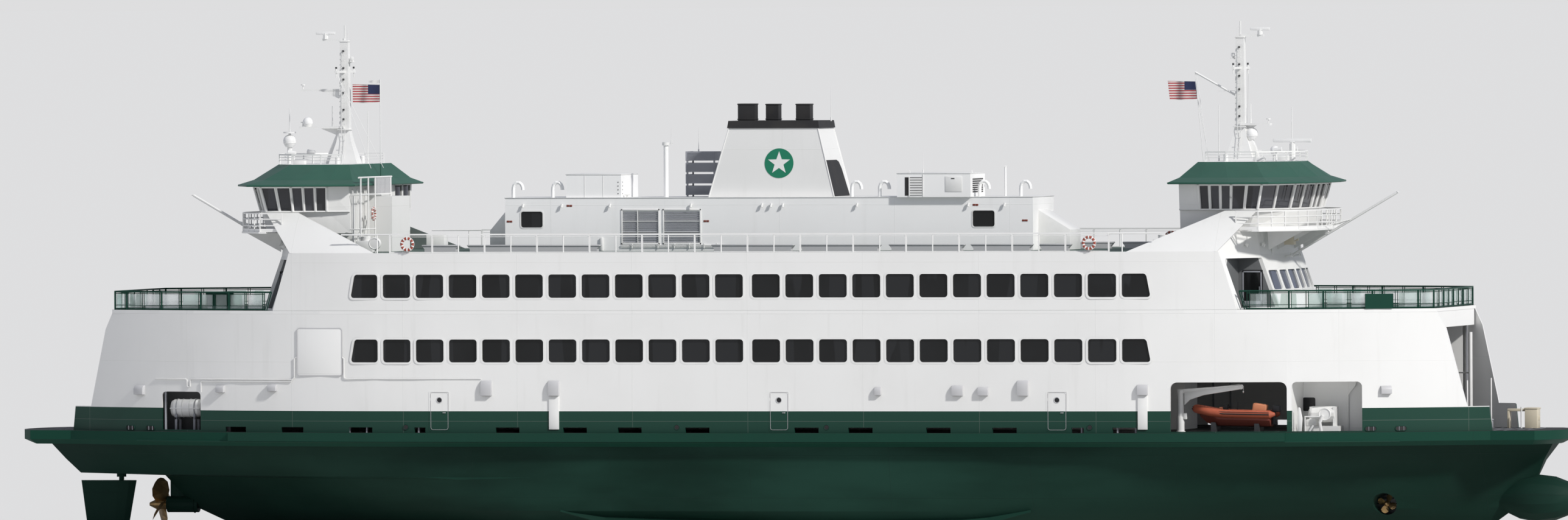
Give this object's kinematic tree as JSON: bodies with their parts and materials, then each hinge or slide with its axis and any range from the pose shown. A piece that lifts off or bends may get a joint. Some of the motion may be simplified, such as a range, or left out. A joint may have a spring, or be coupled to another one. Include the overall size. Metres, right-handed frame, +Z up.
{
  "type": "car ferry, 1:10 scale model",
  "caption": "Double-ended car ferry as a 1:10 scale model, with open car deck, cabin, pilothouse and mast at each end, rudder, propeller and swinging doors.",
  "frame": {"origin": "middle of the flat keel's underside, amidships on the centreline", "axes": "+X forward, towards the bulbous bow; +Y to port; +Z up"},
  "size_m": [8.4, 2.0024, 2.69],
  "materials": {
    "hull_green": "semi-gloss bottom paint",
    "ship_white": "satin topside paint",
    "side_paint": "satin white with a green band at the car deck",
    "band_green": "satin green",
    "deck_paint": "matt non-slip paint",
    "roof_green": "satin green",
    "bronze": "weathered bronze",
    "stack_black": "matt heat-proof black",
    "steel_grey": "grey paint",
    "boat_orange": "coated fabric",
    "canister_white": "gloss",
    "dark_glass": "tinted",
    "console_black": "matt",
    "bunting": "woven"
  },
  "bodies": {
    "root": {"hull": "hull_green", "bilge_keel_starboard": "hull_green", "side_shell_starboard": "side_paint", "fender_starboard": "band_green", "cabin_side_starboard": "ship_white", "sun_rail_starboard": "ship_white", "bilge_keel_port": "hull_green", "side_shell_port": "side_paint", "fender_port": "band_green", "cabin_side_port": "ship_white", "sun_rail_port": "ship_white", "passenger_deck": "deck_paint", "sun_deck": "deck_paint", "centre_casing": "ship_white", "deck_house": "ship_white", "air_unit": "ship_white", "machinery_box": "ship_white", "funnel": "ship_white", "cooler": "steel_grey", "funnel_cap": "stack_black", "cabin_front_aft": "ship_white", "pilothouse_aft": "ship_white", "pilothouse_roof_aft": "roof_green", "console_aft": "console_black", "balcony_aft": "ship_white", "mast_aft": "ship_white", "flag_aft": "bunting", "end_rail_aft": "band_green", "mooring_walls_aft": "ship_white", "cabin_front_fore": "ship_white", "pilothouse_fore": "ship_white", "pilothouse_roof_fore": "roof_green", "console_fore": "console_black", "balcony_fore": "ship_white", "mast_fore": "ship_white", "flag_fore": "bunting", "end_rail_fore": "band_green", "mooring_walls_fore": "ship_white", "davit_column": "ship_white", "rescue_boat": "boat_orange", "boat_cradle": "ship_white", "life_raft": "canister_white", "mooring_winch": "ship_white"},
    "propeller_body": {"propeller": "bronze"},
    "thruster_body": {"thruster_propeller": "bronze"},
    "rudder_body": {"rudder": "hull_green"},
    "shell_door_starboard_aft_body": {"shell_door_starboard_aft": "side_paint"},
    "shell_door_starboard_mid_body": {"shell_door_starboard_mid": "side_paint"},
    "shell_door_starboard_fore_body": {"shell_door_starboard_fore": "side_paint"},
    "shell_door_port_aft_body": {"shell_door_port_aft": "side_paint"},
    "shell_door_port_mid_body": {"shell_door_port_mid": "side_paint"},
    "shell_door_port_fore_body": {"shell_door_port_fore": "side_paint"},
    "cabin_door_aft_starboard_body": {"cabin_door_aft_starboard": "dark_glass"},
    "cabin_door_aft_port_body": {"cabin_door_aft_port": "dark_glass"},
    "radar_aft_body": {"radar_aft": "ship_white"},
    "cabin_door_fore_starboard_body": {"cabin_door_fore_starboard": "dark_glass"},
    "cabin_door_fore_port_body": {"cabin_door_fore_port": "dark_glass"},
    "radar_fore_body": {"radar_fore": "ship_white"},
    "radar_bow_body": {"radar_bow": "ship_white"},
    "davit_body": {"davit_arm": "ship_white"}
  },
  "joints": [
    {"name": "propeller_spin", "type": "hinge", "parent": "root", "child": "propeller_body", "pos_m": [-3.4413, 0, 0.159], "axis": [1, 0, 0], "continuous": true},
    {"name": "thruster_spin", "type": "hinge", "parent": "root", "child": "thruster_body", "pos_m": [3.255, -0.2663, 0.178], "axis": [0, 1, 0], "continuous": true},
    {"name": "rudder_turn", "type": "hinge", "parent": "root", "child": "rudder_body", "pos_m": [-3.665, 0, 0.16], "axis": [0, 0, 1], "range_deg": [-35, 35]},
    {"name": "shell_door_starboard_aft_swing", "type": "hinge", "parent": "root", "child": "shell_door_starboard_aft_body", "pos_m": [-1.716, -0.95, 0.673], "axis": [0, 0, -1], "range_deg": [0, 90]},
    {"name": "shell_door_starboard_mid_swing", "type": "hinge", "parent": "root", "child": "shell_door_starboard_mid_body", "pos_m": [0.114, -0.95, 0.673], "axis": [0, 0, -1], "range_deg": [0, 90]},
    {"name": "shell_door_starboard_fore_swing", "type": "hinge", "parent": "root", "child": "shell_door_starboard_fore_body", "pos_m": [1.599, -0.95, 0.673], "axis": [0, 0, -1], "range_deg": [0, 90]},
    {"name": "shell_door_port_aft_swing", "type": "hinge", "parent": "root", "child": "shell_door_port_aft_body", "pos_m": [-1.716, 0.95, 0.673], "axis": [0, 0, 1], "range_deg": [0, 90]},
    {"name": "shell_door_port_mid_swing", "type": "hinge", "parent": "root", "child": "shell_door_port_mid_body", "pos_m": [0.114, 0.95, 0.673], "axis": [0, 0, 1], "range_deg": [0, 90]},
    {"name": "shell_door_port_fore_swing", "type": "hinge", "parent": "root", "child": "shell_door_port_fore_body", "pos_m": [1.599, 0.95, 0.673], "axis": [0, 0, 1], "range_deg": [0, 90]},
    {"name": "cabin_door_aft_starboard_swing", "type": "hinge", "parent": "root", "child": "cabin_door_aft_starboard_body", "pos_m": [-2.54, -0.5, 1.302], "axis": [0, 0, 1], "range_deg": [0, 90]},
    {"name": "cabin_door_aft_port_swing", "type": "hinge", "parent": "root", "child": "cabin_door_aft_port_body", "pos_m": [-2.54, 0.5, 1.302], "axis": [0, 0, -1], "range_deg": [0, 90]},
    {"name": "radar_aft_spin", "type": "hinge", "parent": "root", "child": "radar_aft_body", "pos_m": [-2.53, 0, 2.65], "axis": [0, 0, 1], "continuous": true},
    {"name": "cabin_door_fore_starboard_swing", "type": "hinge", "parent": "root", "child": "cabin_door_fore_starboard_body", "pos_m": [2.54, -0.5, 1.302], "axis": [0, 0, -1], "range_deg": [0, 90]},
    {"name": "cabin_door_fore_port_swing", "type": "hinge", "parent": "root", "child": "cabin_door_fore_port_body", "pos_m": [2.54, 0.5, 1.302], "axis": [0, 0, 1], "range_deg": [0, 90]},
    {"name": "radar_fore_spin", "type": "hinge", "parent": "root", "child": "radar_fore_body", "pos_m": [2.53, 0, 2.65], "axis": [0, 0, 1], "continuous": true},
    {"name": "radar_bow_spin", "type": "hinge", "parent": "root", "child": "radar_bow_body", "pos_m": [2.7, 0, 2.067], "axis": [0, 0, 1], "continuous": true},
    {"name": "davit_slew", "type": "hinge", "parent": "root", "child": "davit_body", "pos_m": [2.264, -0.742, 0.77], "axis": [0, 0, -1], "range_deg": [0, 80]}
  ]
}
